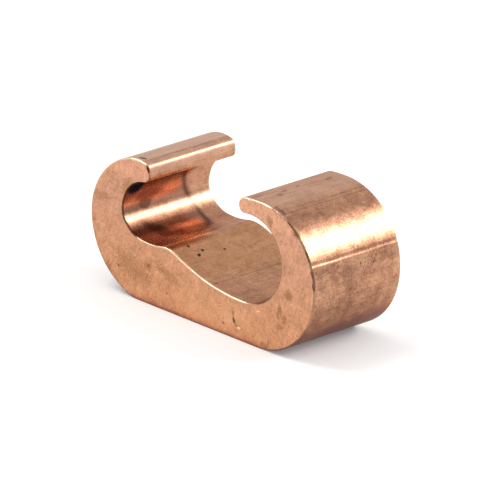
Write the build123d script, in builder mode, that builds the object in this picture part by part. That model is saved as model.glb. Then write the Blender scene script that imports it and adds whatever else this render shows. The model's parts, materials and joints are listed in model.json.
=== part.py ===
from build123d import *
import os
from math import cos, radians, sin, sqrt

# Grounding compression connector: a length of extruded copper bar whose section is one
# closed chain of tangent arcs. It has a large open groove for the ground conductor, a small
# open groove for the tap, a lip over each, and a flat base. X runs across the grooves,
# Y along them and Z up. The origin is at the middle of the base.
# Sizes are in millimetres. Angles are in degrees from +X towards +Z.

length = 23.0
edge_break = 0.25

# Grooves, and the metal under each
groove_spacing = 25.6
main_groove_diameter = 16.8
tap_groove_diameter = 11.1
main_floor = 7.6
tap_floor = 11.6

# Hook over the main groove: toe, flank and crown arcs from the base up to the lip's nose
main_lip_wall = 3.1
main_lip_angle = 98.5
main_crown_wall = 17.9
main_crown_shift = 1.8
main_flank_wall = 5.9
flank_start_angle = 87.0
toe_start_angle = -17.0

# Floor between the grooves: ramp out of the main groove, crest, hollow into the tap groove
ramp_radius = 40.0
crest_radius = 4.9
crest_rise = 0.4
crest_inset = 5.5
hollow_radius = 14.0

# Hook over the tap groove: the lip's nose, then shoulder, crown and heel arcs to the base
tap_lip_thickness = 3.8
tap_lip_angle = 100.0
shoulder_radius = 7.9
tap_crown_rise = 0.4
tap_crown_wall = 6.85
tap_crown_shift = -1.1
heel_start_angle = 190.5
heel_end_angle = 259.5
heel_corner_radius = 3.0

turn_axis = Vector(0, 0, 1)


def toward(angle):
    """Unit vector in the section at an angle."""
    return Vector(cos(radians(angle)), sin(radians(angle)))


def centre_between(a, from_a, b, from_b):
    """Point at distance from_a from a and from_b from b, on the right of the way from a to b.

    It is where two circles cross: along the line by (d^2 + from_a^2 - from_b^2) / 2d, and
    off it by the other side of that right triangle.
    """
    distance = (b - a).length
    way = (b - a) / distance
    along = (distance**2 + from_a**2 - from_b**2) / (2 * distance)
    off = sqrt(from_a**2 - along**2)
    return a + way * along + Vector(way.Y, -way.X) * off


def main_hook_arcs():
    """Toe, flank, crown and nose of the hook, and then the main groove.

    The toe's radius takes it from the flank's lower end to lie flat on the base. The nose is
    the full round that fits between the groove and the crown at the lip's angle.
    """
    groove_r = main_groove_diameter / 2
    groove = Vector(0, main_floor + groove_r)
    crown_r = groove_r + main_crown_wall
    crown = groove + Vector(main_crown_shift, groove_r + main_lip_wall - crown_r)
    flank_r = groove_r + main_flank_wall
    flank = crown + toward(flank_start_angle) * (crown_r - flank_r)
    toe_way = toward(toe_start_angle)
    toe_start = flank + toe_way * flank_r
    toe_r = toe_start.Y / (1 + toe_way.Y)
    toe = toe_start - toe_way * toe_r
    lip_way = toward(main_lip_angle)
    seat = groove + lip_way * groove_r - crown
    nose_r = (crown_r**2 - seat.dot(seat)) / (2 * (crown_r + seat.dot(lip_way)))
    nose = groove + lip_way * (groove_r + nose_r)
    return [(toe, toe_r), (flank, flank_r), (crown, crown_r), (nose, nose_r), (groove, -groove_r)]


def tap_hook_arcs():
    """Tap groove, and then nose, shoulder, crown, heel and heel corner of its hook.

    The heel's radius takes it from the crown's lower end to the corner, which rounds it
    into the base.
    """
    groove_r = tap_groove_diameter / 2
    groove = Vector(-groove_spacing, tap_floor + groove_r)
    nose_r = tap_lip_thickness / 2
    nose = groove + toward(tap_lip_angle) * (groove_r + nose_r)
    crown_r = groove_r + tap_crown_wall
    crown_top = groove_r + tap_lip_thickness + tap_crown_rise
    crown = groove + Vector(tap_crown_shift, crown_top - crown_r)
    shoulder_r = shoulder_radius
    shoulder = centre_between(nose, shoulder_r - nose_r, crown, crown_r - shoulder_r)
    heel_way, corner_way = toward(heel_start_angle), toward(heel_end_angle)
    heel_start = crown + heel_way * crown_r
    corner_r = heel_corner_radius
    corner_height = corner_r * (1 + corner_way.Y)
    heel_r = (heel_start.Y - corner_height) / (heel_way.Y - corner_way.Y)
    heel = heel_start - heel_way * heel_r
    corner = heel + corner_way * (heel_r - corner_r)
    lip = [(nose, nose_r), (shoulder, shoulder_r)]
    back = [(crown, crown_r), (heel, heel_r), (corner, corner_r)]
    return [(groove, -groove_r)] + lip + back


def floor_arcs(main_groove, tap_groove):
    """Ramp, crest and hollow of the floor, from the main groove to the tap groove."""
    main, main_r = main_groove
    tap, tap_r = tap_groove
    crest = Vector(tap.X + crest_inset, tap_floor + crest_rise - crest_radius)
    ramp = centre_between(main, ramp_radius + main_r, crest, ramp_radius + crest_radius)
    hollow = centre_between(crest, hollow_radius + crest_radius, tap, hollow_radius + tap_r)
    return [(ramp, -ramp_radius), (crest, crest_radius), (hollow, -hollow_radius)]


def section_line(arcs):
    """Draws the arcs and the base, and closes them into one line.

    Each arc is a centre and a radius, which is negative where the section is hollow. Two
    tangent arcs meet on the line of their centres: the way to that point, from either
    centre, is the line between them over the difference of the signed radii.
    """
    meetings = [(b - a) / (a_r - b_r) for (a, a_r), (b, b_r) in zip(arcs, arcs[1:])]
    down = toward(-90)
    ways = [down] + meetings + [down]
    for (centre, radius), start, end in zip(arcs, ways, ways[1:]):
        turn = start.get_signed_angle(end, turn_axis) % 360
        start_angle = Vector(1, 0).get_signed_angle(start, turn_axis)
        if radius < 0:
            turn -= 360
            start_angle += 180
        CenterArc(centre, abs(radius), start_angle, turn)
    (first, first_r), (last, last_r) = arcs[0], arcs[-1]
    Line(last + down * last_r, first + down * first_r)


# Round the section anticlockwise, from the base's end under the main groove
main_hook = main_hook_arcs()
tap_hook = tap_hook_arcs()
section_arcs = main_hook + floor_arcs(main_hook[-1], tap_hook[0]) + tap_hook

# The flank and the tap crown reach furthest out, and the origin lies midway between them
flank_centre, flank_r = main_hook[1]
tap_crown, tap_crown_r = tap_hook[3]
middle = (flank_centre.X + flank_r + tap_crown.X - tap_crown_r) / 2
section_plane = Plane(origin=(-middle, 0, 0), x_dir=(1, 0, 0), z_dir=(0, -1, 0))

with BuildPart() as connector_body:
    with BuildSketch(section_plane):
        with BuildLine():
            section_line(section_arcs)
        make_face()
    extrude(amount=length / 2, both=True)
    end_faces = connector_body.faces().filter_by(Axis.Y)
    fillet(end_faces.edges(), edge_break)

connector_body.part.label = "connector_body"
os.makedirs("parts", exist_ok=True)
export_step(connector_body.part, "parts/connector_body.step")
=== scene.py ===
import json
import math

import bpy
import numpy as np
from mathutils import Matrix, Vector
from mathutils.geometry import delaunay_2d_cdt


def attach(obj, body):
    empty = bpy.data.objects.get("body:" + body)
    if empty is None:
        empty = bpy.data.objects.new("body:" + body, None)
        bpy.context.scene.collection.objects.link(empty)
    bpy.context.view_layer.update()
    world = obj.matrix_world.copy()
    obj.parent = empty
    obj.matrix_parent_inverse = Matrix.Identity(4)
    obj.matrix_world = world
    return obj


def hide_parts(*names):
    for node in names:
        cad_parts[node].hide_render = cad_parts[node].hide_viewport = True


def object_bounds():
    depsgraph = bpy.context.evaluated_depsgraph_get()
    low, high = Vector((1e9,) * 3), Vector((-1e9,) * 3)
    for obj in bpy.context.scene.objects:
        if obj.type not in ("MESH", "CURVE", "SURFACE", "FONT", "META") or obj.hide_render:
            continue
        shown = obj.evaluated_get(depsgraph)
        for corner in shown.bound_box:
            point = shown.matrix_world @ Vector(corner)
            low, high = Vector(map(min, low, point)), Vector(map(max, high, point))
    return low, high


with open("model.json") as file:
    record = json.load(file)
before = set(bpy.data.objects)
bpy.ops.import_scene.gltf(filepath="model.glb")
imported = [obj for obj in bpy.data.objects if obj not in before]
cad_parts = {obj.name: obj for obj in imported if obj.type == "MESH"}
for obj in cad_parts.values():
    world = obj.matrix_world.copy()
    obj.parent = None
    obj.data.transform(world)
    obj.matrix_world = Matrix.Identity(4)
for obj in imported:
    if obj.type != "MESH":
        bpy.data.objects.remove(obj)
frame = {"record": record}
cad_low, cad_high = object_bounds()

# Looks of the copper grounding connector. Sizes are in metres where a comment doesn't say mm,
# and angles in degrees. The body is built again from the section that its solid has, with
# worn edges, die lines and a nick, and takes the solid's place.
# A place on the skin is (s, y) in mm: s is the distance along the outline, anticlockwise
# from the base's right end, and y runs from the front end to the back.

MM = 0.001
MOUNTS = {mount["name"]: mount for mount in frame["record"]["mounts"]}
MAIN_GROOVE = np.array(MOUNTS["main_groove"]["pos_m"])[[0, 2]]
TAP_GROOVE = np.array(MOUNTS["tap_groove"]["pos_m"])[[0, 2]]
MAIN_GROOVE_R = MOUNTS["main_groove"]["dims"]["r_mm"] * MM
TAP_GROOVE_R = MOUNTS["tap_groove"]["dims"]["r_mm"] * MM
HALF_LENGTH = (cad_high[1] - cad_low[1]) / 2

# Section, as in the solid: X across the grooves and Z up
MAIN_LIP_WALL = 3.1 * MM
MAIN_LIP_ANGLE = 98.5
MAIN_CROWN_WALL = 17.9 * MM
MAIN_CROWN_SHIFT = 1.8 * MM
MAIN_FLANK_WALL = 5.9 * MM
FLANK_START_ANGLE = 87.0
TOE_START_ANGLE = -17.0
RAMP_R = 40.0 * MM
CREST_R = 4.9 * MM
CREST_RISE = 0.4 * MM
CREST_INSET = 5.5 * MM
HOLLOW_R = 14.0 * MM
TAP_LIP_THICKNESS = 3.8 * MM
TAP_LIP_ANGLE = 100.0
SHOULDER_R = 7.9 * MM
TAP_CROWN_RISE = 0.4 * MM
TAP_CROWN_WALL = 6.85 * MM
TAP_CROWN_SHIFT = -1.1 * MM
HEEL_START_ANGLE = 190.5
HEEL_END_ANGLE = 259.5
HEEL_CORNER_R = 3.0 * MM

# Mesh: steps along the outline and the length, round an edge and over an end face
OUTLINE_STEP = 0.24 * MM
LENGTH_STEP = 0.4 * MM
EDGE_RINGS = 6
FACE_STEP = 0.6 * MM

# Mesh near the wear, in mm: step along a worn stretch, and the least step that is kept
WORN_STEP = 0.11
LEAST_STEP = 0.05

# Die lines along Y, in mm: distance along the outline, depth and half width
DIE_LINES = [
    (16.2, -0.006, 0.35),
    (26.62, 0.052, 0.55),
    (37.75, 0.008, 0.25),
    (38.6, 0.010, 0.25),
    (87.7, 0.006, 0.20),
    (127.95, 0.014, 0.16),
]

# Places where the die left the section a little deeper, or prouder where the depth is
# negative, in mm: distance along the outline, depth and half width
DEEPER = [(94.0, -0.06, 4.5), (112.6, 0.24, 3.2), (125.3, 0.28, 1.75)]

# Rise of the ramp's back edge, which narrows the gap under the lip, in mm: its middle as
# (s, y), its height, and its half widths along both
BACK_RISE = ((95.4, 12.5), 0.68, (5.8, 8.0))

# Break of the two edges before wear, in mm
FRONT_BREAK = 0.235
BACK_BREAK = 0.13

# Where the front edge is worn, in mm: distance along the outline, half width and what the
# break gains, which is negative where less is worn away. First the long low stretches
LONG_WEAR = [(26.5, 9.0, 0.06), (91.0, 14.0, -0.06)]
FRONT_WEAR = [
    (22.9, 0.9, 0.24),
    (25.2, 0.9, 0.14),
    (33.2, 0.9, 0.28),
    (30.4, 0.5, 0.08),
    (39.4, 0.9, 0.16),
    (41.6, 1.0, 0.04),
    (44.0, 3.4, -0.05),
    (45.9, 0.6, 0.12),
    (92.9, 0.5, 0.10),
    (126.2, 0.6, 0.20),
    (129.8, 1.8, 0.10),
]

# Where the front edge stayed sharp, in mm: distance and half width, then from where to where
# the sharpness comes in along the heel, and what the break loses
SHARP_STRETCHES = [(123.0, 3.5), (51.0, 3.0)]
SHARP_HEEL = (162.0, 168.0)
SHARPER = 0.10

# Looks of the front edge: from and to along the outline in mm, how much bright metal shows,
# with painted highlight, and how oxidised it is, with painted shadow
FRONT_EDGE = [
    (0.0, 18.0, 0.05, 0.15),
    (18.0, 22.0, 0.15, 0.35),
    (22.0, 25.8, 0.10, 0.78),
    (25.8, 27.4, 0.20, 0.50),
    (27.4, 29.4, 0.10, 0.80),
    (29.4, 32.2, 0.20, 0.40),
    (32.2, 36.0, 0.10, 0.72),
    (36.0, 38.5, 0.35, 0.25),
    (38.5, 40.4, 0.30, 0.40),
    (40.4, 48.5, 1.00, 0.00),
    (48.5, 79.0, 0.10, 0.10),
    (79.0, 102.0, 1.00, 0.00),
    (102.0, 107.5, 0.70, 0.10),
    (107.5, 121.0, 0.00, 0.75),
    (121.0, 125.2, 0.00, 0.20),
    (125.2, 126.8, 0.00, 1.00),
    (126.8, 133.5, 1.00, 0.00),
    (133.5, 140.0, 0.45, 0.05),
    (140.0, 160.0, 0.10, 0.12),
    (160.0, 199.0, 0.00, 0.80),
]

# Half the distance over which two looks of the front edge meet, in mm, and how much bright
# metal and how much oxidised metal, with painted highlight and painted shadow, the back edge
# shows
EDGE_FADE = 0.35
BACK_EDGE = (0.3, 0.1)

# End faces: spans of x and z in mm that their points stand in, and how far apart their rows
# are as a share of the step between points
FACE_X = (-28, 28)
FACE_Z = (0.3, 27.5)
FACE_ROWS = 0.87

# Nick in the front face, in mm: its line as (x, z), its half width and depth
NICK_LINE = [(8.62, 5.2), (8.6, 4.2), (8.8, 3.5), (9.2, 3.0), (9.7, 2.5)]
NICK_HALF_WIDTH = 0.2
NICK_DEPTH = 0.14

# Finer mesh round the nick, in mm: spans of x and z, step, reach of the fine points from the
# line, and how far the plain ones keep off it. Inner points keep RIM_CLEAR off the rim
NICK_X = (7.8, 10.6)
NICK_Z = (1.8, 6.0)
NICK_STEP = 0.08
NICK_REACH = 0.5
NICK_CLEAR = 0.75
RIM_CLEAR = 0.2

# The back face has this share of the front face's waves, and a trace of its nick. Its UV
# lies this far to one side, in metres, so that the front face's marks don't fall on it
BACK_SHARE = 0.6
BACK_UV_SHIFT = 0.1

# Where painted shade on the main hook's low flank, the tarnished heel and paleness come in or
# go out along the outline, in mm
FLANK_SHADE_OUT = (9.0, 18.5)
HEEL_TARNISH_IN = (150.0, 160.0)
CROWN_PALE_IN = (37.0, 42.0)
CROWN_PALE_OUT = (50.0, 56.0)
LIP_PALE_IN = (124.2, 125.5)
TAP_CROWN_PALE_IN = (127.4, 129.0)
TAP_CROWN_PALE_OUT = (148.0, 158.0)

# Dark ring in the tap groove: its line as (s, y) in mm
DARK_RING_LINE = [
    (118.2, 3.4), (116.0, 4.2), (114.0, 4.9), (112.5, 5.6), (110.8, 6.1), (109.0, 6.3),
    (107.4, 6.3), (106.0, 5.9), (104.7, 4.9), (103.8, 3.2), (103.5, 1.0), (103.8, -1.5),
    (104.8, -3.5), (106.2, -5.0), (108.0, -6.0), (109.6, -7.2),
]

# Camera: it looks along a line that meets the front end face at AIM, from DISTANCE away. The
# sensor is in mm, and the focal length is FOCAL_WIDTHS times its width
AIM = (9.1755 * MM, -11.5 * MM, 18.98 * MM)
AZIMUTH = 42.0
ELEVATION = 20.57
ROLL = 3.87
DISTANCE = 1.71
SENSOR = 36.0
FOCAL_WIDTHS = 9500 / 480
CLIP_START = 0.1
CLIP_END = 20

# Room: half the floor's width, the height that the lamps face, and the fill of the world,
# whose strength is 1 where it is seen
FLOOR_HALF = 3.0
LAMPS_FACE = 15 * MM
WORLD_FILL = 0.65


def toward(angle):
    """Unit vectors in the section at an angle or an array of them."""
    turn = np.radians(angle)
    return np.stack([np.cos(turn), np.sin(turn)], -1)


def centre_between(a, from_a, b, from_b):
    """Point from_a away from a and from_b away from b, right of the way from a to b."""
    distance = np.linalg.norm(b - a)
    way = (b - a) / distance
    along = (distance**2 + from_a**2 - from_b**2) / (2 * distance)
    off = math.sqrt(from_a**2 - along**2)
    return a + way * along + np.array([way[1], -way[0]]) * off


def main_hook_arcs():
    """Toe, flank, crown and nose of the main hook, and its groove: (centre, radius) of each."""
    crown_r = MAIN_GROOVE_R + MAIN_CROWN_WALL
    crown_up = MAIN_GROOVE_R + MAIN_LIP_WALL - crown_r
    crown = MAIN_GROOVE + np.array([MAIN_CROWN_SHIFT, crown_up])
    flank_r = MAIN_GROOVE_R + MAIN_FLANK_WALL
    flank = crown + toward(FLANK_START_ANGLE) * (crown_r - flank_r)
    toe_way = toward(TOE_START_ANGLE)
    toe_start = flank + toe_way * flank_r
    toe_r = toe_start[1] / (1 + toe_way[1])
    toe = toe_start - toe_way * toe_r
    lip_way = toward(MAIN_LIP_ANGLE)
    seat = MAIN_GROOVE + lip_way * MAIN_GROOVE_R - crown
    nose_r = (crown_r**2 - seat @ seat) / (2 * (crown_r + seat @ lip_way))
    nose = MAIN_GROOVE + lip_way * (MAIN_GROOVE_R + nose_r)
    hook = [(toe, toe_r), (flank, flank_r), (crown, crown_r), (nose, nose_r)]
    return hook + [(MAIN_GROOVE, -MAIN_GROOVE_R)]


def tap_hook_arcs():
    """Tap groove, then nose, shoulder, crown, heel and heel corner of its hook."""
    nose_r = TAP_LIP_THICKNESS / 2
    nose = TAP_GROOVE + toward(TAP_LIP_ANGLE) * (TAP_GROOVE_R + nose_r)
    crown_r = TAP_GROOVE_R + TAP_CROWN_WALL
    crown_top = TAP_GROOVE_R + TAP_LIP_THICKNESS + TAP_CROWN_RISE
    crown = TAP_GROOVE + np.array([TAP_CROWN_SHIFT, crown_top - crown_r])
    shoulder = centre_between(nose, SHOULDER_R - nose_r, crown, crown_r - SHOULDER_R)
    heel_way, corner_way = toward(HEEL_START_ANGLE), toward(HEEL_END_ANGLE)
    heel_start = crown + heel_way * crown_r
    corner_height = HEEL_CORNER_R * (1 + corner_way[1])
    heel_r = (heel_start[1] - corner_height) / (heel_way[1] - corner_way[1])
    heel = heel_start - heel_way * heel_r
    corner = heel + corner_way * (heel_r - HEEL_CORNER_R)
    lip = [(nose, nose_r), (shoulder, SHOULDER_R)]
    back = [(crown, crown_r), (heel, heel_r), (corner, HEEL_CORNER_R)]
    return [(TAP_GROOVE, -TAP_GROOVE_R)] + lip + back


def floor_arcs():
    """Ramp, crest and hollow of the floor between the grooves."""
    base = TAP_GROOVE[1] - TAP_GROOVE_R
    crest = np.array([TAP_GROOVE[0] + CREST_INSET, base + CREST_RISE - CREST_R])
    ramp = centre_between(MAIN_GROOVE, RAMP_R - MAIN_GROOVE_R, crest, RAMP_R + CREST_R)
    hollow = centre_between(crest, HOLLOW_R + CREST_R, TAP_GROOVE, HOLLOW_R - TAP_GROOVE_R)
    return [(ramp, -RAMP_R), (crest, CREST_R), (hollow, -HOLLOW_R)]


class Outline:
    """The section's line by distance along it, anticlockwise from the base's right end.

    Each arc has a signed radius, negative where it is hollow, and turns from the way to one
    meeting point to the way to the next: (b - a) / (ra - rb).
    """

    def __init__(self):
        arcs = main_hook_arcs() + floor_arcs() + tap_hook_arcs()
        ways = [np.array([0.0, -1.0])]
        for (a, ra), (b, rb) in zip(arcs, arcs[1:]):
            ways.append((b - a) / (ra - rb))
        ways.append(np.array([0.0, -1.0]))
        self.pieces = []
        at = 0.0
        for (centre, radius), start, end in zip(arcs, ways, ways[1:]):
            first = math.degrees(math.atan2(start[1], start[0]))
            turn = (math.degrees(math.atan2(end[1], end[0])) - first) % 360
            if radius < 0:
                turn -= 360
            run = math.radians(abs(turn)) * abs(radius)
            self.pieces.append((at, run, centre, radius, first, turn))
            at += run
        (toe, _), (corner, corner_r) = arcs[0], arcs[-1]
        self.base_left = corner + np.array([0, -corner_r])
        self.base_start = at
        self.whole = at + toe[0] - self.base_left[0]

    def at(self, distances):
        """Points and outward normals at distances along the line."""
        on_base = distances - self.base_start
        points = self.base_left + np.stack([on_base, np.zeros_like(on_base)], -1)
        normals = np.tile([0.0, -1.0], (len(distances), 1))
        for start, run, centre, radius, first, turn in self.pieces:
            here = (distances >= start) & (distances < start + run)
            way = toward(first + turn * (distances[here] - start) / run)
            points[here] = centre + radius * way
            normals[here] = way
        return points, normals

    def stations(self):
        """Distances to cut the line at: even steps, and finer ones by die lines and wear."""
        fine = [np.arange(0, self.whole - OUTLINE_STEP / 2, OUTLINE_STEP)]
        for line, _, half in DIE_LINES:
            fine.append(np.arange(line - 2 * half, line + 2 * half, half / 4) * MM)
        for place, half, _ in FRONT_WEAR:
            fine.append(np.arange(place - half, place + half, WORN_STEP) * MM)
        cuts = np.sort(np.concatenate(fine))
        keep = [cuts[0]]
        for cut in cuts[1:]:
            if cut - keep[-1] > LEAST_STEP * MM:
                keep.append(cut)
        return np.array(keep)


def smooth_noise(place, step, seed):
    """Noise from -1 to 1 along a line.

    Random values stand every step, and between two of them the share is (1 - cos pi t) / 2.
    """
    values = np.random.default_rng(seed).uniform(-1, 1, 4096)
    cell = np.floor(place / step).astype(int)
    share = (1 - np.cos(np.pi * (place / step - cell))) / 2
    return values[cell % 4096] * (1 - share) + values[(cell + 1) % 4096] * share


def surface_noise(across, along, step_across, step_along, seed):
    """Noise from -1 to 1 over a surface, joined between random values as smooth_noise is."""
    values = np.random.default_rng(seed).uniform(-1, 1, (512, 512))
    i = np.floor(across / step_across).astype(int)
    j = np.floor(along / step_along).astype(int)
    u = (1 - np.cos(np.pi * (across / step_across - i))) / 2
    v = (1 - np.cos(np.pi * (along / step_along - j))) / 2
    low = values[i % 512, j % 512] * (1 - u) + values[(i + 1) % 512, j % 512] * u
    high = values[i % 512, (j + 1) % 512] * (1 - u) + values[(i + 1) % 512, (j + 1) % 512] * u
    return low * (1 - v) + high * v


def hump(offset, half):
    """Smooth hump, 1 in the middle and 0 from half away: (1 + cos pi t) / 2."""
    share = np.clip(np.abs(offset) / half, 0, 1)
    return (1 + np.cos(np.pi * share)) / 2


def step(value, low, high):
    """Smooth step from 0 at low to 1 at high: t t (3 - 2 t)."""
    share = np.clip((value - low) / (high - low), 0, 1)
    return share * share * (3 - 2 * share)


def line_distance(place, line):
    """Distance of each place (n, 2) from a bent line, and how far along it, from 0 to 1."""
    line = np.array(line)
    runs = np.linalg.norm(np.diff(line, axis=0), axis=1)
    passed = np.concatenate([[0], np.cumsum(runs)]) / runs.sum()
    nearest = np.full(len(place), np.inf)
    along = np.zeros(len(place))
    for a, b, run, start in zip(line, line[1:], runs, passed):
        share = np.clip((place - a) @ (b - a) / run**2, 0, 1)
        away = np.linalg.norm(place - (a + share[:, None] * (b - a)), axis=1)
        closer = away < nearest
        nearest[closer] = away[closer]
        along[closer] = start + share[closer] * run / runs.sum()
    return nearest, along


def edge_breaks(cuts):
    """Radius of the worn edge at each cut, for the front and the back end.

    Both wander by noise. The front one gains a ragged hump at each worn stretch, and loses
    smooth humps and a smooth step where it stayed sharp.
    """
    s = cuts / MM
    front = FRONT_BREAK + 0.03 * smooth_noise(s, 1.3, 1) + 0.02 * smooth_noise(s, 0.4, 2)
    sharp = sum(hump(s - place, half) for place, half in SHARP_STRETCHES)
    front = front - SHARPER * (sharp + step(s, *SHARP_HEEL))
    back = BACK_BREAK + 0.03 * smooth_noise(s, 1.5, 3) + 0.015 * smooth_noise(s, 0.5, 4)
    ragged = 1 + 0.35 * smooth_noise(s, 0.5, 5)
    for place, half, extra in LONG_WEAR + FRONT_WEAR:
        front = front + extra * hump(s - place, half) * ragged
    return front * MM, back * MM


def skin_depth(s, y):
    """How deep the skin lies under the plain section, in mm, at (s, y) in mm.

    It is the sum of long low waves, a hump across s for each deeper place, a hump across s
    times a hump along y for the rise, and a hump across s for each die line, whose place and
    depth drift along y.
    """
    depth = 0.006 + 0.004 * surface_noise(s, y, 1.1, 26.0, 11)
    depth = depth + 0.0025 * surface_noise(s, y, 2.3, 7.0, 12)
    for place, deep, half in DEEPER:
        depth = depth + deep * hump(s - place, half)
    (rise_s, rise_y), height, (half_s, half_y) = BACK_RISE
    depth = depth - height * hump(s - rise_s, half_s) * hump(y - rise_y, half_y)
    for index, (line, deep, half) in enumerate(DIE_LINES):
        drift = line + 0.05 * smooth_noise(y + 40, 6.0, 20 + index)
        uneven = 1 + 0.25 * smooth_noise(y + 40, 3.0, 30 + index)
        depth = depth + deep * hump(s - drift, half) * uneven
    return depth


def edge_looks(s, y):
    """Two masks of the skin, each from 0 to 1: how much bright metal its edge shows, with
    painted highlight, and how oxidised it is, with painted shadow.

    The front edge follows its table: each stretch is a smooth step up less a smooth step
    down. The back edge is even.
    """
    bare = np.zeros(s.shape)
    oxide_and_shadow = np.zeros(s.shape)
    for low, high, how_bare, how_oxidised_and_shaded in FRONT_EDGE:
        inside = step(s, low - EDGE_FADE, low + EDGE_FADE)
        inside = inside - step(s, high - EDGE_FADE, high + EDGE_FADE)
        bare = bare + inside * how_bare
        oxide_and_shadow = oxide_and_shadow + inside * how_oxidised_and_shaded
    back_bare, back_oxide_and_shaded = BACK_EDGE
    return np.stack([np.where(y < 0, bare, back_bare), np.where(y < 0, oxide_and_shadow, back_oxide_and_shaded)], -1)


def zone_masks(s, y):
    """Three masks of the skin: tarnished copper with painted shade, and a dark ring, from 0 to
    1, and paleness, to 1.25.

    Painted shade lies low on the outside of the main hook, tarnishing low on the outside of the
    tap hook and on its base, and paleness on the tops of both hooks. The dark ring is exp(-(d /
    h)^2) at d from its line in the tap groove. The half width h grows by two humps along the
    line, and the ring is fainter under the band of light.
    """
    tarnish_and_shade = (1 - step(s, *FLANK_SHADE_OUT)) * (1 - 0.25 * hump(y + 8, 5))
    tarnish_and_shade = tarnish_and_shade + step(s, *HEEL_TARNISH_IN)
    paleness = 0.6 * step(s, *CROWN_PALE_IN) * (1 - step(s, *CROWN_PALE_OUT))
    tap_paleness = 0.35 * step(s, *LIP_PALE_IN) + 0.9 * step(s, *TAP_CROWN_PALE_IN)
    paleness = paleness + tap_paleness * (1 - step(s, *TAP_CROWN_PALE_OUT))
    place = np.stack([s, y], -1).reshape(-1, 2)
    away, along = line_distance(place, DARK_RING_LINE)
    half = 0.68 + 0.84 * hump(along - 0.85, 0.3) + 0.3 * hump(along - 0.62, 0.2)
    dark_ring = np.exp(-(away / half) ** 2).reshape(s.shape)
    dark_ring = dark_ring * (1 - 0.65 * hump(s - 111.0, 2.0))
    return np.stack([tarnish_and_shade, paleness, dark_ring], -1)


def body_rings(cuts, outline):
    """Rings of the skin from the front end to the back: their places, and y along the skin.

    In an edge, ring t lies at L - e (1 - sin t) and is drawn in by e (1 - cos t), for t from
    90 to 0 degrees and a break e that changes along the outline. All lie in by skin_depth.
    """
    points, normals = outline.at(cuts)
    front, back = edge_breaks(cuts)
    turns = np.radians(np.linspace(90, 0, EDGE_RINGS + 1))
    low = HALF_LENGTH - front
    high = HALF_LENGTH - back
    ring_y, ring_uv, ring_in = [], [], []
    for turn in turns:
        ring_y.append(-low - front * np.sin(turn))
        ring_uv.append(-low - front * turn)
        ring_in.append(front * (1 - np.cos(turn)))
    count = int(2 * HALF_LENGTH / LENGTH_STEP)
    for share in np.arange(1, count) / count:
        y = -low + (low + high) * share
        ring_y.append(y)
        ring_uv.append(y)
        ring_in.append(np.zeros_like(cuts))
    for turn in turns[::-1]:
        ring_y.append(high + back * np.sin(turn))
        ring_uv.append(high + back * turn)
        ring_in.append(back * (1 - np.cos(turn)))
    ring_y, ring_uv, ring_in = np.array(ring_y), np.array(ring_uv), np.array(ring_in)
    depth = skin_depth(np.broadcast_to(cuts / MM, ring_y.shape), ring_y / MM) * MM
    section = points[None] - normals[None] * (ring_in + depth)[..., None]
    place = np.stack([section[..., 0], ring_y, section[..., 1]], -1)
    return place, ring_uv


def face_depth(x, z, rim_away):
    """How deep an end face lies behind its plane, in mm: low saw waves and the nick.

    The waves are noise along leaning lines, and fade out towards the rim. The nick is a hump
    along its line times a hump across it, narrower at both ends.
    """
    wave = 0.004 + 0.004 * surface_noise(x + 0.35 * z + 60, z + 40, 1.6, 9.0, 41)
    away, along = line_distance(np.stack([x, z], -1), NICK_LINE)
    half = NICK_HALF_WIDTH * (0.35 + 0.65 * hump(along - 0.5, 0.6))
    nick = NICK_DEPTH * hump(along - 0.5, 0.55) * hump(away, 1.6 * half)
    return wave * np.clip(rim_away / 0.5, 0, 1) + nick


def end_face(loop, with_nick):
    """An end face's inner points, how far they are from its rim, and its triangles, in mm.

    Inner points stand on a staggered grid, and closer together round the nick. Triangles
    number the rim's points first.
    """
    rim = np.array(loop)
    spacing = FACE_STEP / MM
    rows = np.arange(*FACE_Z, spacing * FACE_ROWS)
    xs, zs = np.meshgrid(np.arange(*FACE_X, spacing), rows)
    xs = xs + (np.arange(len(xs)) % 2)[:, None] * spacing / 2
    inner = np.stack([xs.ravel(), zs.ravel()], -1)
    if with_nick:
        fine = np.meshgrid(np.arange(*NICK_X, NICK_STEP), np.arange(*NICK_Z, NICK_STEP))
        fine = np.stack(fine, -1).reshape(-1, 2)
        fine = fine[line_distance(fine, NICK_LINE)[0] < NICK_REACH]
        inner = inner[line_distance(inner, NICK_LINE)[0] > NICK_CLEAR]
        inner = np.vstack([inner, fine])
    away = line_distance(inner, np.vstack([rim, rim[:1]]))[0]
    inner, away = inner[away > RIM_CLEAR], away[away > RIM_CLEAR]
    every = [Vector(p) for p in np.vstack([rim, inner])]
    result = delaunay_2d_cdt(every, [], [list(range(len(rim)))], 1, 1e-5)
    sources = [found[0] for found in result[3]]
    triangles = [[sources[i] for i in face] for face in result[2]]
    used = sorted({i for triangle in triangles for i in triangle if i >= len(rim)})
    renumbered = {i: i for i in range(len(rim))}
    renumbered.update({old: len(rim) + new for new, old in enumerate(used)})
    triangles = [[renumbered[i] for i in triangle] for triangle in triangles]
    picked = np.array(used) - len(rim)
    return inner[picked], away[picked], triangles


def facing_out(triangle, flat, side):
    """The triangle, turned over where its corners' order faces into the body."""
    a, b, c = (flat[i] for i in triangle)
    turned = (b[0] - a[0]) * (c[1] - a[1]) - (b[1] - a[1]) * (c[0] - a[0])
    return triangle[::-1] if turned * side > 0 else triangle


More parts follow.
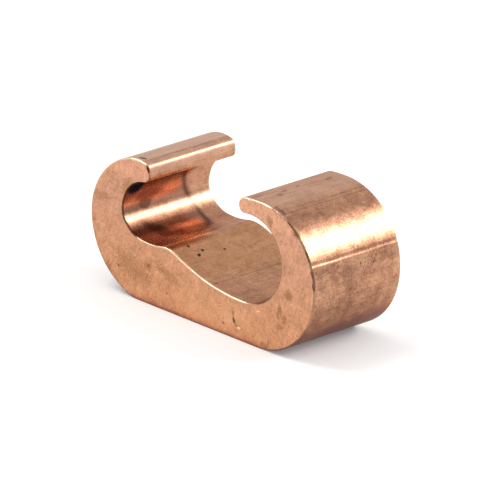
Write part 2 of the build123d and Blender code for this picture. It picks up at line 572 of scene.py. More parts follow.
def add_surface_data(mesh, cuts, whole, ring_y, end_uv):
    """UV map of the whole mesh, and the skin's masks at its vertices, which come first."""
    rings, around = ring_y.shape
    after = np.append(cuts[1:], whole)
    corner_s = np.stack([cuts, cuts, after, after], -1)
    corner_s = np.broadcast_to(corner_s, (rings - 1, around, 4))
    next_y = np.roll(ring_y, -1, axis=1)
    corner_y = np.stack([ring_y[:-1], ring_y[1:], next_y[1:], next_y[:-1]], -1)
    skin_uv = np.stack([corner_s, corner_y], -1).reshape(-1, 2)
    uv = mesh.uv_layers.new(name="Surface")
    uv.data.foreach_set("uv", np.vstack([skin_uv, np.array(end_uv)]).ravel())
    s = np.broadcast_to(cuts / MM, ring_y.shape)
    for name, masks in (("Zones", zone_masks), ("Edges", edge_looks)):
        found = masks(s, ring_y / MM).reshape(rings * around, -1)
        colours = np.zeros((len(mesh.vertices), 4), np.float32)
        colours[:, 3] = 1
        colours[:len(found), :found.shape[1]] = found
        layer = mesh.color_attributes.new(name, "FLOAT_COLOR", "POINT")
        layer.data.foreach_set("color", colours.ravel())


def body_mesh(outline):
    """The worn body as a closed mesh: rings of the skin, and an end face at each end."""
    cuts = outline.stations()
    place, ring_y = body_rings(cuts, outline)
    rings, around = place.shape[:2]
    index = np.arange(rings * around).reshape(rings, around)
    onward = np.roll(index, -1, axis=1)
    quads = np.stack([index[:-1], index[1:], onward[1:], onward[:-1]], -1).reshape(-1, 4)
    vertices = [place.reshape(-1, 3)]
    faces = quads.tolist()
    end_uv = []
    total = rings * around
    for ring, side in ((0, -1), (rings - 1, 1)):
        loop = place[ring][:, [0, 2]] / MM
        inner, away, triangles = end_face(loop, side < 0)
        depth = face_depth(inner[:, 0], inner[:, 1], away) * (1 if side < 0 else BACK_SHARE)
        y = side * (HALF_LENGTH - depth * MM)
        vertices.append(np.stack([inner[:, 0] * MM, y, inner[:, 1] * MM], -1))
        numbers = np.concatenate([index[ring], total + np.arange(len(inner))])
        shift = 0.0 if side < 0 else BACK_UV_SHIFT
        flat = np.vstack([loop, inner]) * MM + np.array([shift, 0.0])
        for triangle in triangles:
            triangle = facing_out(triangle, flat, side)
            faces.append([int(numbers[i]) for i in triangle])
            end_uv.extend(flat[i] for i in triangle)
        total += len(inner)
    mesh = bpy.data.meshes.new("connector_body_looks")
    mesh.from_pydata(np.vstack(vertices).tolist(), [], faces)
    mesh.polygons.foreach_set("use_smooth", np.ones(len(faces), bool))
    slots = np.zeros(len(faces), np.int32)
    slots[len(quads):] = 1
    mesh.polygons.foreach_set("material_index", slots)
    add_surface_data(mesh, cuts, outline.whole, ring_y, end_uv)
    return mesh


class Nodes:
    """Adds nodes to a tree. A setting is a value, a colour or another node's output."""

    def __init__(self, tree):
        self.tree = tree

    def add(self, kind, settings=(), **properties):
        """A node of a kind, with its properties, and its inputs set or linked by settings."""
        node = self.tree.nodes.new("ShaderNode" + kind)
        for name, value in properties.items():
            setattr(node, name, value)
        for socket, value in dict(settings).items():
            if isinstance(value, bpy.types.NodeSocket):
                self.tree.links.new(value, node.inputs[socket])
            else:
                node.inputs[socket].default_value = value
        return node

    def math(self, operation, a, b=0.0, c=0.0):
        """Result of an operation on two values, or on three."""
        return self.add("Math", {0: a, 1: b, 2: c}, operation=operation).outputs[0]

    def blend(self, share, a, b, kind="MIX"):
        """Colour a with a share of colour b in it, mixed or multiplied."""
        settings = {0: share, 6: a, 7: b}
        return self.add("Mix", settings, data_type="RGBA", blend_type=kind).outputs[2]

    def spread(self, value, low, high, to_low=0.0, to_high=1.0):
        """Value carried from low..high to to_low..to_high, smoothly and clamped."""
        settings = {"Value": value, "From Min": low, "From Max": high}
        settings.update({"To Min": to_low, "To Max": to_high})
        return self.add("MapRange", settings, interpolation_type="SMOOTHSTEP").outputs["Result"]

    def span(self, value, ends, strength=1.0):
        """Strength inside a span and 0 outside it: a smooth rise times a smooth fall."""
        (rise_low, rise_high), (fall_low, fall_high) = ends
        rise = self.spread(value, rise_low, rise_high)
        fall = self.spread(value, fall_high, fall_low, 0.0, strength)
        return self.math("MULTIPLY", rise, fall)

    def noise(self, vector, scale, detail, roughness, distortion=0.0):
        """Noise from 0 to 1 over the first two parts of a place."""
        settings = {"Vector": vector, "Scale": scale, "Detail": detail, "Roughness": roughness}
        settings["Distortion"] = distortion
        return self.add("TexNoise", settings, noise_dimensions="2D").outputs[0]

    def group(self, tree, settings=()):
        """Outputs of a shader group that is placed with its own settings."""
        return self.add("Group", settings, node_tree=tree).outputs


def new_group(name, inputs, outputs):
    """A shader group with named sockets: its tree, a Nodes on it, and both sides' sockets."""
    tree = bpy.data.node_groups.new(name, "ShaderNodeTree")
    for socket, kind in inputs.items():
        tree.interface.new_socket(socket, in_out="INPUT", socket_type="NodeSocket" + kind)
    for socket, kind in outputs.items():
        tree.interface.new_socket(socket, in_out="OUTPUT", socket_type="NodeSocket" + kind)
    given = tree.nodes.new("NodeGroupInput").outputs
    taken = tree.nodes.new("NodeGroupOutput").inputs
    return tree, Nodes(tree), given, taken


def millimetre_group():
    """Surface place in mm: the piece's own UV map, which is in metres, times 1000."""
    outputs = {"Place": "Vector", "First": "Float", "Second": "Float"}
    tree, nodes, _, out = new_group("surface_in_mm", {}, outputs)
    uv = nodes.add("UVMap", uv_map="Surface").outputs[0]
    place = nodes.add("VectorMath", {0: uv, 3: 1000.0}, operation="SCALE").outputs[0]
    apart = nodes.add("SeparateXYZ", {0: place}).outputs
    tree.links.new(place, out["Place"])
    tree.links.new(apart[0], out["First"])
    tree.links.new(apart[1], out["Second"])
    return tree


def mark_group():
    """A worn mark, or a patch of painted shade or glow: 1 inside an oval and 0 outside, its
    edge made ragged by noise.

    The ragged distance is the length of the place's offset, turned and taken over the half
    sizes, plus noise times Rag, and the mark fades between 0.7 and 1.2.
    """
    inputs = {"Place": "Vector", "Middle": "Vector", "Half Size": "Vector"}
    inputs.update({"Turn": "Float", "Rag": "Float"})
    tree, nodes, given, out = new_group("mark", inputs, {"Mask": "Float"})
    ends = {0: given["Place"], 1: given["Middle"]}
    offset = nodes.add("VectorMath", ends, operation="SUBTRACT")
    turn = {"Vector": offset.outputs[0], "Angle": given["Turn"]}
    turned = nodes.add("VectorRotate", turn, rotation_type="Z_AXIS").outputs[0]
    share = nodes.add("VectorMath", {0: turned, 1: given["Half Size"]}, operation="DIVIDE")
    away = nodes.add("VectorMath", {0: share.outputs[0]}, operation="LENGTH").outputs["Value"]
    rough = nodes.noise(given["Place"], 3.1, 3.0, 0.6)
    shift = nodes.math("MULTIPLY", nodes.math("SUBTRACT", rough, 0.5), given["Rag"])
    tree.links.new(nodes.spread(nodes.math("ADD", away, shift), 1.2, 0.7), out["Mask"])
    return tree


def mottle_group():
    """Cloudy patches, from -1 to 1: noise at the given scale, and finer noise added to it."""
    inputs = {"Place": "Vector", "Scale": "Float"}
    tree, nodes, given, out = new_group("mottle", inputs, {"Value": "Float"})
    broad = nodes.noise(given["Place"], given["Scale"], 5.0, 0.62, 0.4)
    fine = nodes.noise(given["Place"], nodes.math("MULTIPLY", given["Scale"], 4.7), 3.0, 0.6)
    both = nodes.math("MULTIPLY_ADD", fine, 0.45, nodes.math("MULTIPLY", broad, 0.55))
    value = nodes.math("MULTIPLY", nodes.math("SUBTRACT", both, 0.5), 4.0)
    tree.links.new(nodes.math("MAXIMUM", nodes.math("MINIMUM", value, 1.0), -1.0), out["Value"])
    return tree


def grain_group():
    """Fine grain about 0: noise at the given scale, less a half."""
    inputs = {"Place": "Vector", "Scale": "Float"}
    tree, nodes, given, out = new_group("grain", inputs, {"Value": "Float"})
    noise = nodes.noise(given["Place"], given["Scale"], 3.0, 0.67)
    tree.links.new(nodes.math("SUBTRACT", noise, 0.5), out["Value"])
    return tree


def tone_group():
    """A colour made lighter or darker: each part of it times Tone."""
    inputs = {"Color": "Color", "Tone": "Float"}
    tree, nodes, given, out = new_group("tone", inputs, {"Color": "Color"})
    tone = given["Tone"]
    grey = nodes.add("CombineColor", {0: tone, 1: tone, 2: tone}).outputs[0]
    tree.links.new(nodes.blend(1.0, given["Color"], grey, "MULTIPLY"), out["Color"])
    return tree


def marks(nodes, place, group, table):
    """One mask of several marks: the largest of each mark's own mask times its strength."""
    whole = 0.0
    for middle, half, turn, rag, strength in table:
        settings = {"Place": place, "Middle": middle + (0,), "Half Size": half + (1,)}
        settings.update({"Turn": math.radians(turn), "Rag": rag})
        mask = nodes.math("MULTIPLY", nodes.group(group, settings)[0], strength)
        whole = nodes.math("MAXIMUM", mask, whole)
    return whole


def new_material(name):
    """A metal material's nodes and its Principled BSDF."""
    material = bpy.data.materials.new(name)
    material.use_nodes = True
    shader = material.node_tree.nodes["Principled BSDF"]
    shader.inputs["Metallic"].default_value = 1.0
    shader.inputs["Specular Tint"].default_value = (0.80, 0.66, 0.60, 1)
    return material, Nodes(material.node_tree), shader


# Colours of the copper
DARK_CLOUD = (0.33, 0.148, 0.088, 1)
LIGHT_CLOUD = (0.535, 0.285, 0.172, 1)
YELLOW_TINT = (0.50, 0.295, 0.160, 1)
RED_TINT = (0.42, 0.200, 0.145, 1)
RAMP_BROWN = (0.46, 0.225, 0.085, 1)
PALE_TOP = (0.600, 0.405, 0.312, 1)
# Tarnished copper, and painted shade low on the main hook's flank
TARNISH_AND_SHADE = (0.192, 0.080, 0.071, 1)
# Painted shade in the tap groove, inside the dark ring
PAINTED_GROOVE_SHADE = (0.22, 0.083, 0.060, 1)
# Painted glow of copper light reflected in the tap groove
PAINTED_GLOW = (0.46, 0.250, 0.150, 1)
# Painted glow in the hollow
PAINTED_HOLLOW_GLOW = (0.64, 0.42, 0.27, 1)
DARK_RING_BROWN = (0.078, 0.028, 0.024, 1)
SPECK = (0.035, 0.016, 0.014, 1)
BLACK_SPOT = (0.018, 0.013, 0.020, 1)
# Bright metal with painted highlight, and oxidised metal with painted shadow, on the edges
BARE_EDGE_AND_HIGHLIGHT = (0.82, 0.575, 0.38, 1)
OXIDE_EDGE_AND_SHADOW = (0.075, 0.030, 0.020, 1)
FACE_PINK = (0.592, 0.308, 0.191, 1)
FACE_ORANGE = (0.640, 0.318, 0.166, 1)
FACE_TOP = (0.70, 0.372, 0.236, 1)
FACE_BROWN_CLOUD = (0.49, 0.255, 0.125, 1)
FACE_PALE_CLOUD = (0.73, 0.385, 0.26, 1)
# Painted shade at the foot of the end face
FACE_FOOT_SHADE = (0.54, 0.185, 0.100, 1)
FACE_OLIVE = (0.29, 0.138, 0.053, 1)
FACE_SCRATCH = (1.0, 0.62, 0.36, 1)
FACE_SPECK = (0.10, 0.035, 0.015, 1)

# Spans of the outline in mm where a look is on: where it rises, and where it falls
WORKED_SPAN = ((98.0, 101.0), (122.0, 125.0))
RAMP_SPAN = ((86.0, 93.0), (98.0, 101.0))
# Span of the painted shade in the tap groove
GROOVE_SHADE_SPAN = ((98.3, 104.2), (121.0, 124.0))
# Painted glow in the hollow
HOLLOW_SPAN = ((99.5, 100.4), (103.0, 105.2))
PATCHY_SPAN = ((13.0, 17.0), (26.0, 37.0))
TAP_NOSE_SPAN = ((123.5, 125.0), (127.0, 128.5))

# Where the skin ends and the look of its edge begins, in mm from the middle of the length
EDGE_BEGINS = (11.0, 11.3)

# Middle of the band of light in the tap groove, where less of the painted shade shows, in mm
LIGHT_BAND = 111.1

# Height of one unit of relief in the Bump nodes
RELIEF = 0.001 * MM

# Dark lines along Y: distance along the outline and half width in mm, and strength
DARK_LINES = [
    (37.75, 0.30, 0.22),
    (38.6, 0.30, 0.25),
    (128.0, 0.16, 0.50),
    (87.7, 0.20, 0.40),
]

# Marks, painted shade and painted glow on the skin: middle and half sizes as (s, y) in mm,
# turn in degrees, raggedness and strength
SKIN_SPECKS = [
    ((24.0, 4.5), (0.18, 0.16), 0, 0.6, 0.9),
    ((24.05, 3.0), (0.17, 0.16), 0, 0.6, 0.8),
    ((24.5, 1.1), (0.35, 0.11), -10, 0.6, 0.9),
    ((95.4, -0.4), (0.27, 0.36), 20, 0.8, 0.85),
    ((96.7, -5.0), (0.36, 0.34), 0, 0.8, 0.95),
    ((95.85, -6.7), (0.36, 0.55), 40, 0.8, 0.95),
    ((98.5, -7.1), (0.46, 0.28), -35, 0.9, 0.9),
    ((87.8, -10.0), (0.16, 0.5), 0, 0.8, 0.6),
    ((129.2, -10.1), (0.85, 0.42), 20, 0.9, 0.8),
    ((38.7, -10.5), (1.1, 0.55), 0, 1.2, 0.6),
    ((39.9, -10.5), (0.5, 0.5), 0, 1.2, 0.55),
]
# Painted shade: the patches in the tap groove and the hollow, from s 99 to 116, the two bands
# across the flank at s 17 and 36, and the broad patch on the main groove's wall at s 80.4. The
# rest are dark marks and patches
SKIN_SHADES = [
    ((44.0, 7.6), (0.5, 1.2), 20, 1.8, 0.6),
    ((44.6, -3.6), (0.5, 0.9), 10, 1.8, 0.65),
    ((43.6, -5.7), (0.7, 0.9), 30, 1.8, 0.7),
    ((44.9, 0.4), (0.3, 0.7), 20, 1.6, 0.6),
    ((45.8, -9.5), (0.5, 1.5), 0, 1.6, 0.65),
    ((36.1, -8.4), (1.4, 2.6), 0, 1.6, 0.3),
    ((21.5, -2.3), (1.8, 1.6), 40, 1.6, 0.5),
    ((23.8, -2.0), (0.9, 2.6), 0, 1.6, 0.4),
    ((22.5, -9.4), (1.5, 1.0), 0, 1.5, 0.3),
    ((80.0, -8.6), (0.5, 0.5), 0, 1.2, 0.5),
    ((94.0, 5.2), (0.6, 0.5), 0, 1.2, 0.35),
    ((106.7, -5.2), (2.3, 1.6), -30, 0.9, 0.95),
    ((107.9, -8.2), (2.0, 3.6), 0, 0.9, 0.55),
    ((104.8, -9.5), (3.4, 3.0), 0, 0.9, 0.35),
    ((105.1, 0.8), (0.95, 5.6), -4, 0.8, 0.88),
    ((108.5, 0.5), (0.9, 5.0), 0, 0.8, 0.30),
    ((99.4, -5.0), (0.3, 6.5), 0, 0.7, 0.15),
    ((35.7, 0.0), (1.5, 14.0), 0, 1.4, 0.18),
    ((17.4, 0.0), (1.9, 14.0), 0, 1.8, 0.18),
    ((80.4, -8.2), (2.6, 4.0), 0, 1.2, 0.28),
    ((102.6, -3.5), (1.0, 6.0), 6, 0.8, 0.12),
    ((113.3, -5.6), (1.1, 1.8), 0, 0.9, 1.0),
    ((112.9, -8.5), (0.6, 3.0), 0, 0.9, 0.4),
    ((114.9, -4.9), (1.5, 3.0), 0, 0.9, 0.6),
    ((113.9, 1.5), (0.5, 4.0), 0, 0.8, 0.35),
]
GROOVE_SPOT = [((118.0, -9.3), (2.2, 2.3), 0, 0.6, 1.0)]
# Painted glow of reflected copper light in the tap groove and the hollow
PAINTED_GLOW_PATCHES = [
    ((106.9, 2.6), (0.5, 3.0), 0, 0.8, 0.26),
    ((115.1, 2.0), (0.7, 3.0), 0, 0.8, 0.32),
    ((114.5, -9.5), (0.8, 1.5), 0, 1.0, 0.55),
    ((117.2, -0.8), (0.9, 3.2), 0, 0.8, 0.55),
    ((101.5, -6.5), (1.5, 5.0), 0, 0.7, 0.7),
]


def extruded_copper(groups):
    """Skin of the extrusion: brown copper with streaks along it, tarnishing, specks, a dark
    ring, and painted shade, glow, edge highlights and edge shadows.

    The colour is blended in layers, from the ground to the marks and the worn ends, with a
    tone between them that streaks, grain, patches, painted shade and dark lines make lighter or
    darker.
    """
    material, nodes, shader = new_material("extruded_copper")
    surface = nodes.group(groups["mm"])
    place, s, y = surface["Place"], surface["First"], surface["Second"]
    zones = nodes.add("Attribute", attribute_name="Zones").outputs["Color"]
    tarnish_and_shade, paleness, dark_ring = nodes.add("SeparateColor", {0: zones}).outputs[:3]
    drawn = nodes.add("CombineXYZ", {0: s, 1: nodes.math("MULTIPLY", y, 0.05)}).outputs[0]
    streak = nodes.math("SUBTRACT", nodes.noise(drawn, 1.7, 4.0, 0.7), 0.5)
    fine = nodes.math("SUBTRACT", nodes.noise(drawn, 9.0, 2.0, 0.6), 0.5)
    mottle = nodes.group(groups["mottle"], {"Place": place, "Scale": 0.42})[0]
    grain = nodes.group(groups["grain"], {"Place": place, "Scale": 4.2})[0]
    worked = nodes.span(s, WORKED_SPAN)

    # Ground: clouds in two colours, and two tints over them in broad patches
    cloud = nodes.group(groups["mottle"], {"Place": place, "Scale": 0.13})[0]
    clouds = nodes.math("MULTIPLY_ADD", cloud, 0.6, mottle)
    colour = nodes.blend(nodes.spread(clouds, -0.9, 0.9), DARK_CLOUD, LIGHT_CLOUD)
    tint = nodes.group(groups["mottle"], {"Place": place, "Scale": 0.085})[0]
    colour = nodes.blend(nodes.spread(tint, 0.0, 0.8, 0.0, 0.45), colour, YELLOW_TINT)
    colour = nodes.blend(nodes.spread(tint, 0.0, -0.8, 0.0, 0.45), colour, RED_TINT)
    colour = nodes.blend(nodes.span(s, RAMP_SPAN, 0.35), colour, RAMP_BROWN)
    colour = nodes.blend(nodes.math("MULTIPLY", paleness, 0.8), colour, PALE_TOP)
    # Tarnished heel and base, and painted shade low on the main hook's flank
    dark = nodes.spread(nodes.math("MULTIPLY_ADD", mottle, -0.25, tarnish_and_shade), 0.1, 1.0)
    colour = nodes.blend(dark, colour, TARNISH_AND_SHADE)

    # Painted shade in the tap groove, inside the dark ring: darker on both sides of the band of
    # light, between two slanting limits
    limit = nodes.spread(nodes.math("SUBTRACT", s, y), 98.2, 100.4)
    groove_shade = nodes.math("MULTIPLY", nodes.span(s, GROOVE_SHADE_SPAN), limit)
    slant = nodes.math("MULTIPLY_ADD", s, 0.3, y)
    groove_shade = nodes.math("MULTIPLY", groove_shade, nodes.spread(slant, 39.3, 37.6))
    from_band = nodes.math("ABSOLUTE", nodes.math("SUBTRACT", s, LIGHT_BAND))
    beside = nodes.spread(from_band, 0.9, 2.0, 0.28, 0.62)
    colour = nodes.blend(nodes.math("MULTIPLY", groove_shade, beside), colour, PAINTED_GROOVE_SHADE)
    # Painted glow of reflected copper light
    painted_glow = marks(nodes, place, groups["mark"], PAINTED_GLOW_PATCHES)
    colour = nodes.blend(painted_glow, colour, PAINTED_GLOW)
    # Painted glow in the hollow, weaker towards the front end
    hollow = nodes.span(s, HOLLOW_SPAN)
    hollow = nodes.math("MULTIPLY", hollow, nodes.spread(y, -11.0, 0.5, 0.1, 0.85))
    colour = nodes.blend(nodes.math("MULTIPLY", hollow, limit), colour, PAINTED_HOLLOW_GLOW)

    # Tone: streaks, grain, patches, dark marks and painted shade, and the dark lines, which are
    # broken by noise
    tone = nodes.math("MULTIPLY_ADD", streak, 0.55, 1.0)
    tone = nodes.math("MULTIPLY_ADD", fine, 0.35, tone)
    grain_share = nodes.math("MULTIPLY_ADD", worked, -0.6, 0.75)
    tone = nodes.math("MULTIPLY_ADD", grain, grain_share, tone)
    patchy = nodes.math("MULTIPLY", nodes.span(s, PATCHY_SPAN), 0.16)
    tone = nodes.math("MULTIPLY_ADD", nodes.math("SUBTRACT", mottle, 0.5), patchy, tone)
    shade = marks(nodes, place, groups["mark"], SKIN_SHADES)
    tone = nodes.math("MULTIPLY", tone, nodes.math("MULTIPLY_ADD", shade, -0.55, 1.0))
    lines = 0.0
    for line, half, strength in DARK_LINES:
        away = nodes.math("ABSOLUTE", nodes.math("SUBTRACT", s, line))
        mask = nodes.spread(away, half, half * 0.35, 0.0, strength)
        lines = nodes.math("MAXIMUM", mask, lines)
    broken = nodes.spread(nodes.noise(drawn, 3.0, 3.0, 0.7), 0.38, 0.6, 0.25, 1.0)
    by_line = nodes.math("MULTIPLY_ADD", lines, nodes.math("MULTIPLY", broken, -1.0), 1.0)
    tone = nodes.math("MULTIPLY", tone, by_line)
    colour = nodes.group(groups["tone"], {"Color": colour, "Tone": tone})[0]

    # Dark ring, marks, and the edges: bright metal with painted highlight and oxidised
    # stretches with painted shadow, with a ragged border
    colour = nodes.blend(nodes.math("MULTIPLY", dark_ring, 0.88), colour, DARK_RING_BROWN)
    specks = marks(nodes, place, groups["mark"], SKIN_SPECKS)
    colour = nodes.blend(specks, colour, SPECK)
    spot = marks(nodes, place, groups["mark"], GROOVE_SPOT)
    colour = nodes.blend(spot, colour, BLACK_SPOT)
    ragged = nodes.math("MULTIPLY_ADD", grain, 0.7, nodes.math("ABSOLUTE", y))
    ragged = nodes.math("MULTIPLY_ADD", mottle, 0.08, ragged)
    end = nodes.spread(ragged, *EDGE_BEGINS)
    edges = nodes.add("Attribute", attribute_name="Edges").outputs["Color"]
    bare, oxide_and_shadow = nodes.add("SeparateColor", {0: edges}).outputs[:2]
    colour = nodes.blend(nodes.math("MULTIPLY", end, bare), colour, BARE_EDGE_AND_HIGHLIGHT)
    colour = nodes.blend(nodes.math("MULTIPLY", end, oxide_and_shadow), colour, OXIDE_EDGE_AND_SHADOW)
    nodes.tree.links.new(colour, shader.inputs["Base Color"])

    dull = nodes.math("MULTIPLY", tarnish_and_shade, 0.12)
    dull = nodes.math("MAXIMUM", dull, nodes.math("MULTIPLY", spot, 0.5))
    rough = nodes.math("MULTIPLY_ADD", mottle, 0.05, 0.27)
    rough = nodes.math("ADD", rough, nodes.math("MULTIPLY_ADD", specks, 0.3, dull))
    rough = nodes.math("MULTIPLY_ADD", nodes.span(s, TAP_NOSE_SPAN), 0.10, rough)
    nodes.tree.links.new(rough, shader.inputs["Roughness"])

    # Relief, which is almost gone where the tap groove is worked smooth
    height = nodes.math("MULTIPLY", grain, 4.0)
    height = nodes.math("MULTIPLY_ADD", nodes.noise(place, 1.4, 3.0, 0.6), 6.0, height)
    height = nodes.math("MULTIPLY_ADD", streak, 8.0, height)
    height = nodes.math("MULTIPLY_ADD", fine, 2.0, height)
    height = nodes.math("MULTIPLY_ADD", specks, -25.0, height)
    height = nodes.math("MULTIPLY", height, nodes.math("MULTIPLY_ADD", worked, -0.88, 1.0))
    bump = nodes.add("Bump", {"Height": height, "Distance": RELIEF, "Strength": 1.0})
    nodes.tree.links.new(bump.outputs[0], shader.inputs["Normal"])
    return material


# Marks on the front face: middle and half sizes as (x, z) in mm, turn in degrees,
# raggedness and strength. The last of the bright ones is a broad faint patch
FACE_SPECKS = [
    ((6.4, 2.1), (0.18, 0.26), 0, 0.8, 0.8),
    ((-7.8, 3.4), (0.2, 0.2), 0, 0.8, 0.6),
    ((-20.2, 5.2), (0.25, 0.35), 0, 1.0, 0.5),
    ((9.0, 3.35), (0.28, 0.6), -30, 0.5, 0.9),
    ((8.62, 4.5), (0.1, 0.75), 0, 0.6, 0.6),
    ((16.4, 1.0), (0.85, 0.55), 0, 1.6, 0.38),
    ((24.6, 5.2), (0.35, 0.2), 20, 1.0, 0.5),
    ((20.4, 1.7), (0.35, 0.25), 0, 1.0, 0.35),
]
FACE_OLIVES = [
    ((-12.7, 7.3), (0.5, 0.5), 0, 2.0, 1.0),
    ((-12.9, 7.2), (1.3, 1.1), 0, 3.0, 0.5),
    ((-16.5, 6.0), (4.2, 2.2), 15, 3.5, 0.45),
    ((-8.0, 7.1), (2.8, 0.9), 25, 4.0, 0.5),
    ((-9.8, 7.6), (1.2, 0.5), 0, 4.0, 0.6),
    ((21.8, 12.1), (0.9, 1.0), -20, 3.4, 0.75),
    ((19.9, 8.7), (0.5, 1.0), -10, 3.2, 0.75),
    ((19.5, 7.6), (0.25, 0.7), -10, 2.6, 0.6),
    ((21.2, 7.2), (0.6, 1.0), 0, 3.3, 0.6),
    ((20.3, 5.6), (0.9, 0.5), 0, 3.2, 0.6),
    ((9.6, 2.55), (0.45, 0.2), 35, 1.2, 0.9),
    ((-19.4, 20.9), (0.8, 1.8), 30, 3.0, 0.55),
    ((-25.3, 17.3), (1.8, 0.9), 0, 4.5, 0.4),
    ((-26.8, 12.2), (0.4, 0.5), 0, 3.0, 0.5),
    ((16.1, 24.6), (0.7, 1.0), -20, 3.5, 0.75),
    ((22.2, 24.2), (0.8, 0.6), 40, 3.5, 0.4),
    ((-22.6, 4.3), (1.2, 0.7), 40, 3.5, 0.55),
    ((-19.8, 5.1), (0.5, 0.4), 0, 3.0, 0.5),
    ((8.6, 4.9), (0.4, 0.8), 0, 3.0, 0.4),
    ((25.4, 6.6), (0.5, 1.4), -15, 4.0, 0.4),
    ((4.6, 5.6), (1.4, 0.5), 35, 5.0, 0.4),
]
FACE_BRIGHTS = [
    ((10.3, 2.3), (0.5, 0.2), -10, 0.7, 1.0),
    ((14.7, 6.9), (0.5, 0.16), -15, 1.0, 0.7),
    ((11.6, 6.0), (0.3, 0.15), 10, 1.0, 0.5),
    ((4.2, 5.2), (0.7, 0.2), 50, 1.2, 0.3),
    ((4.5, 3.8), (9.5, 3.6), 0, 2.5, 0.13),
]


def sawn_copper(groups):
    """Sawn end faces: matt orange-pink copper, clouded, with olive stains and saw grain.

    The colour turns from orange to pink with height, and painted shade makes it redder and
    darker at the foot.
    Saw strokes are noise drawn out along leaning lines, and dots are a noise cut off high.
    """
    material, nodes, shader = new_material("sawn_copper")
    surface = nodes.group(groups["mm"])
    place, x, z = surface["Place"], surface["First"], surface["Second"]
    lean = nodes.math("MULTIPLY_ADD", z, -0.35, x)
    sawn = nodes.add("CombineXYZ", {0: lean, 1: nodes.math("MULTIPLY", z, 0.12)}).outputs[0]
    strokes = nodes.math("SUBTRACT", nodes.noise(sawn, 2.2, 4.0, 0.7), 0.5)
    mottle = nodes.group(groups["mottle"], {"Place": place, "Scale": 0.33})[0]
    grain = nodes.group(groups["grain"], {"Place": place, "Scale": 3.0})[0]
    cloud = nodes.group(groups["mottle"], {"Place": place, "Scale": 0.9})[0]

    rise = nodes.math("MULTIPLY_ADD", mottle, 3.0, z)
    colour = nodes.blend(nodes.spread(rise, 0.0, 20.0), FACE_ORANGE, FACE_PINK)
    colour = nodes.blend(nodes.spread(z, 21.0, 25.0, 0.0, 0.8), colour, FACE_TOP)
    colour = nodes.blend(nodes.spread(cloud, 0.0, 1.0, 0.0, 0.78), colour, FACE_BROWN_CLOUD)
    colour = nodes.blend(nodes.spread(cloud, 0.0, -1.0, 0.0, 0.78), colour, FACE_PALE_CLOUD)
    # Painted shade: redder and darker at the foot of the face
    low = nodes.spread(nodes.math("MULTIPLY_ADD", mottle, 0.6, z), 1.7, 0.2)
    colour = nodes.blend(nodes.math("MULTIPLY", low, 0.6), colour, FACE_FOOT_SHADE)
    tone = nodes.math("MULTIPLY_ADD", strokes, 0.42, nodes.spread(x, -24.0, -6.0, 0.95, 1.0))
    tone = nodes.math("MULTIPLY_ADD", mottle, 0.26, tone)
    tone = nodes.math("MULTIPLY_ADD", grain, 0.45, tone)
    # Painted shade: darker towards the bottom edge
    tone = nodes.math("MULTIPLY", tone, nodes.spread(z, 0.2, 0.85, 0.6, 1.0))
    colour = nodes.group(groups["tone"], {"Color": colour, "Tone": tone})[0]
    olive = marks(nodes, place, groups["mark"], FACE_OLIVES)
    dots = nodes.spread(nodes.noise(place, 1.5, 3.0, 0.6), 0.63, 0.72, 0.0, 0.6)
    olive = nodes.math("MAXIMUM", olive, dots)
    colour = nodes.blend(nodes.math("MULTIPLY", olive, 0.95), colour, FACE_OLIVE)
    bright = marks(nodes, place, groups["mark"], FACE_BRIGHTS)
    colour = nodes.blend(bright, colour, FACE_SCRATCH)
    specks = marks(nodes, place, groups["mark"], FACE_SPECKS)
    colour = nodes.blend(specks, colour, FACE_SPECK)
    nodes.tree.links.new(colour, shader.inputs["Base Color"])
    rough = nodes.math("MULTIPLY_ADD", cloud, 0.05, 0.5)
    nodes.tree.links.new(rough, shader.inputs["Roughness"])

    height = nodes.math("MULTIPLY_ADD", strokes, 10.0, nodes.math("MULTIPLY", grain, 10.0))
    height = nodes.math("MULTIPLY_ADD", specks, -20.0, height)
    bump = nodes.add("Bump", {"Height": height, "Distance": RELIEF, "Strength": 1.0})
    nodes.tree.links.new(bump.outputs[0], shader.inputs["Normal"])
    return material


def build_body():
    """The connector's visible body, in the place of its solid."""
    mesh = body_mesh(Outline())
    body = bpy.data.objects.new("connector_body_looks", mesh)
    bpy.context.scene.collection.objects.link(body)
    groups = {"mm": millimetre_group(), "mark": mark_group(), "mottle": mottle_group()}
    groups.update({"grain": grain_group(), "tone": tone_group()})
    mesh.materials.append(extruded_copper(groups))
    mesh.materials.append(sawn_copper(groups))
    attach(body, "root")
    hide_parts("connector_body")


def build_floor():
    """A pale floor that shows white in the open and keeps the connector's shadow."""
    half = FLOOR_HALF
    corners = [(-half, -half, 0), (half, -half, 0), (half, half, 0), (-half, half, 0)]
    mesh = bpy.data.meshes.new("floor")
    mesh.from_pydata(corners, [], [(0, 1, 2, 3)])
    floor = bpy.data.objects.new("floor", mesh)
    bpy.context.scene.collection.objects.link(floor)
    material = bpy.data.materials.new("floor")
    material.use_nodes = True
    shader = material.node_tree.nodes["Principled BSDF"]
    shader.inputs["Roughness"].default_value = 0.9
    shader.inputs["Base Color"].default_value = (0.9, 0.9, 0.9, 1)
    shader.inputs["Emission Color"].default_value = (1, 1, 1, 1)
    shader.inputs["Emission Strength"].default_value = 0.12
    mesh.materials.append(material)


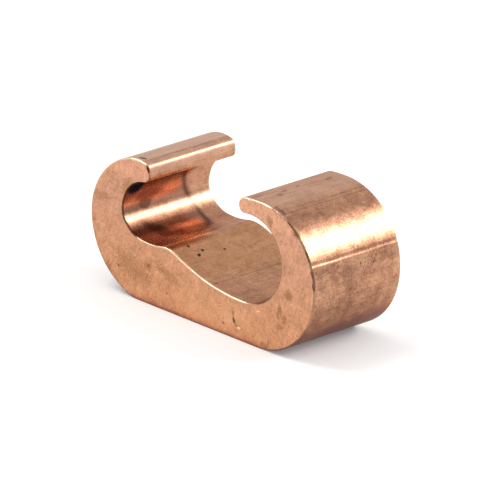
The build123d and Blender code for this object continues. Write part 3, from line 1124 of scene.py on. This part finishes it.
def build_world():
    """White where it is seen, directly or in the metal, and a plain fill for the rest."""
    world = bpy.data.worlds.new("studio")
    world.use_nodes = True
    nodes = Nodes(world.node_tree)
    back = world.node_tree.nodes["Background"]
    back.inputs["Color"].default_value = (1, 1, 1, 1)
    path = nodes.add("LightPath").outputs
    seen = nodes.math("MAXIMUM", path["Is Camera Ray"], path["Is Glossy Ray"])
    seen = nodes.math("MAXIMUM", seen, path["Is Transmission Ray"])
    strength = nodes.add("MapRange", {"Value": seen, "To Min": WORLD_FILL, "To Max": 1.0})
    nodes.tree.links.new(strength.outputs["Result"], back.inputs["Strength"])
    bpy.context.scene.world = world


def area_lamp(name, toward_lamp, distance, width, height, radiance):
    """A rectangular lamp that faces the connector. Its power is pi times area and radiance."""
    data = bpy.data.lights.new(name, "AREA")
    data.shape = "RECTANGLE"
    data.size = width
    data.size_y = height
    data.energy = math.pi * width * height * radiance
    lamp = bpy.data.objects.new(name, data)
    way = Vector(toward_lamp).normalized()
    lamp.location = Vector((0, 0, LAMPS_FACE)) + way * distance
    lamp.rotation_euler = way.to_track_quat("Z", "Y").to_euler()
    bpy.context.scene.collection.objects.link(lamp)


def build_camera():
    """The photograph's view: azimuth, elevation and a small roll, from far away."""
    a, e, r = (math.radians(v) for v in (AZIMUTH, ELEVATION, ROLL))
    right = Vector((math.cos(a), math.sin(a), 0))
    up = Vector((-math.sin(a) * math.sin(e), math.cos(a) * math.sin(e), math.cos(e)))
    back = right.cross(up)
    turned_right = right * math.cos(r) + up * math.sin(r)
    turned_up = up * math.cos(r) - right * math.sin(r)
    data = bpy.data.cameras.new("camera")
    data.sensor_width = SENSOR
    data.lens = SENSOR * FOCAL_WIDTHS
    data.clip_start = CLIP_START
    data.clip_end = CLIP_END
    camera = bpy.data.objects.new("camera", data)
    axes = Matrix((turned_right, turned_up, back)).transposed().to_4x4()
    camera.matrix_world = Matrix.Translation(Vector(AIM) + back * DISTANCE) @ axes
    bpy.context.scene.collection.objects.link(camera)
    bpy.context.scene.camera = camera


build_body()
build_floor()
build_world()
area_lamp("key", (0.49, 0.70, 0.53), distance=0.7, width=0.45, height=0.19, radiance=11.0)
area_lamp("overhead", (-0.50, -0.24, 0.83), distance=0.6, width=0.34, height=0.40, radiance=4.5)
build_camera()
bpy.context.scene.view_settings.view_transform = "Standard"
